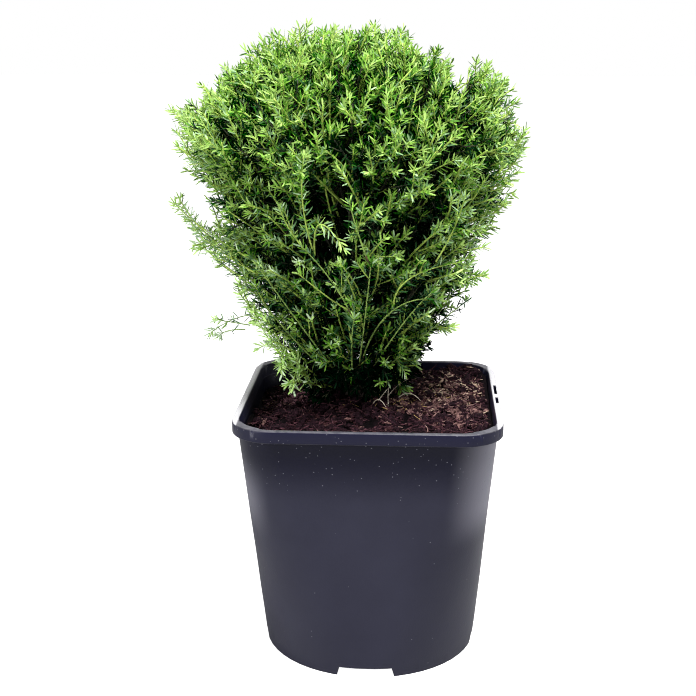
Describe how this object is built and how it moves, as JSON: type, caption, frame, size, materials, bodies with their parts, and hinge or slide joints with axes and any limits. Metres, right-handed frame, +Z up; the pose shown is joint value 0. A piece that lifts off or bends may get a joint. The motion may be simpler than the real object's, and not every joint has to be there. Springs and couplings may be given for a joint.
{
  "type": "potted dwarf conifer",
  "caption": "Young dwarf conifer with soft needle foliage in a square-topped plastic nursery pot that narrows to a round foot, filled with potting mix.",
  "frame": {"origin": "centre of the flat round pad in the middle of the pot's underside", "axes": "+Z up, -Y towards the front of the pot, +X to the right; the pot's straight rim sides lie along X and Y"},
  "size_m": [0.2113, 0.2049, 0.3615],
  "materials": {
    "pot_plastic": "dark blue-grey moulded plastic with a slight sheen",
    "potting_mix": "damp reddish-brown peat with fibres, matt",
    "bark": "young reddish-brown to olive bark, matt",
    "foliage": "soft needle foliage, yellow-green at the tips"
  },
  "bodies": {
    "root": {"pot": "pot_plastic", "potting_mix": "potting_mix", "trunk": "bark", "bough_center": "bark", "foliage_center": "foliage", "bough_inner_1": "bark", "foliage_inner_1": "foliage", "bough_inner_2": "bark", "foliage_inner_2": "foliage", "bough_inner_3": "bark", "foliage_inner_3": "foliage", "bough_inner_4": "bark", "foliage_inner_4": "foliage", "bough_inner_5": "bark", "foliage_inner_5": "foliage", "bough_outer_1": "bark", "foliage_outer_1": "foliage", "bough_outer_2": "bark", "foliage_outer_2": "foliage", "bough_outer_3": "bark", "foliage_outer_3": "foliage", "bough_outer_4": "bark", "foliage_outer_4": "foliage", "bough_outer_5": "bark", "foliage_outer_5": "foliage", "bough_outer_6": "bark", "foliage_outer_6": "foliage", "bough_outer_7": "bark", "foliage_outer_7": "foliage", "bough_outer_8": "bark", "foliage_outer_8": "foliage", "bough_outer_9": "bark", "foliage_outer_9": "foliage"}
  },
  "joints": []
}
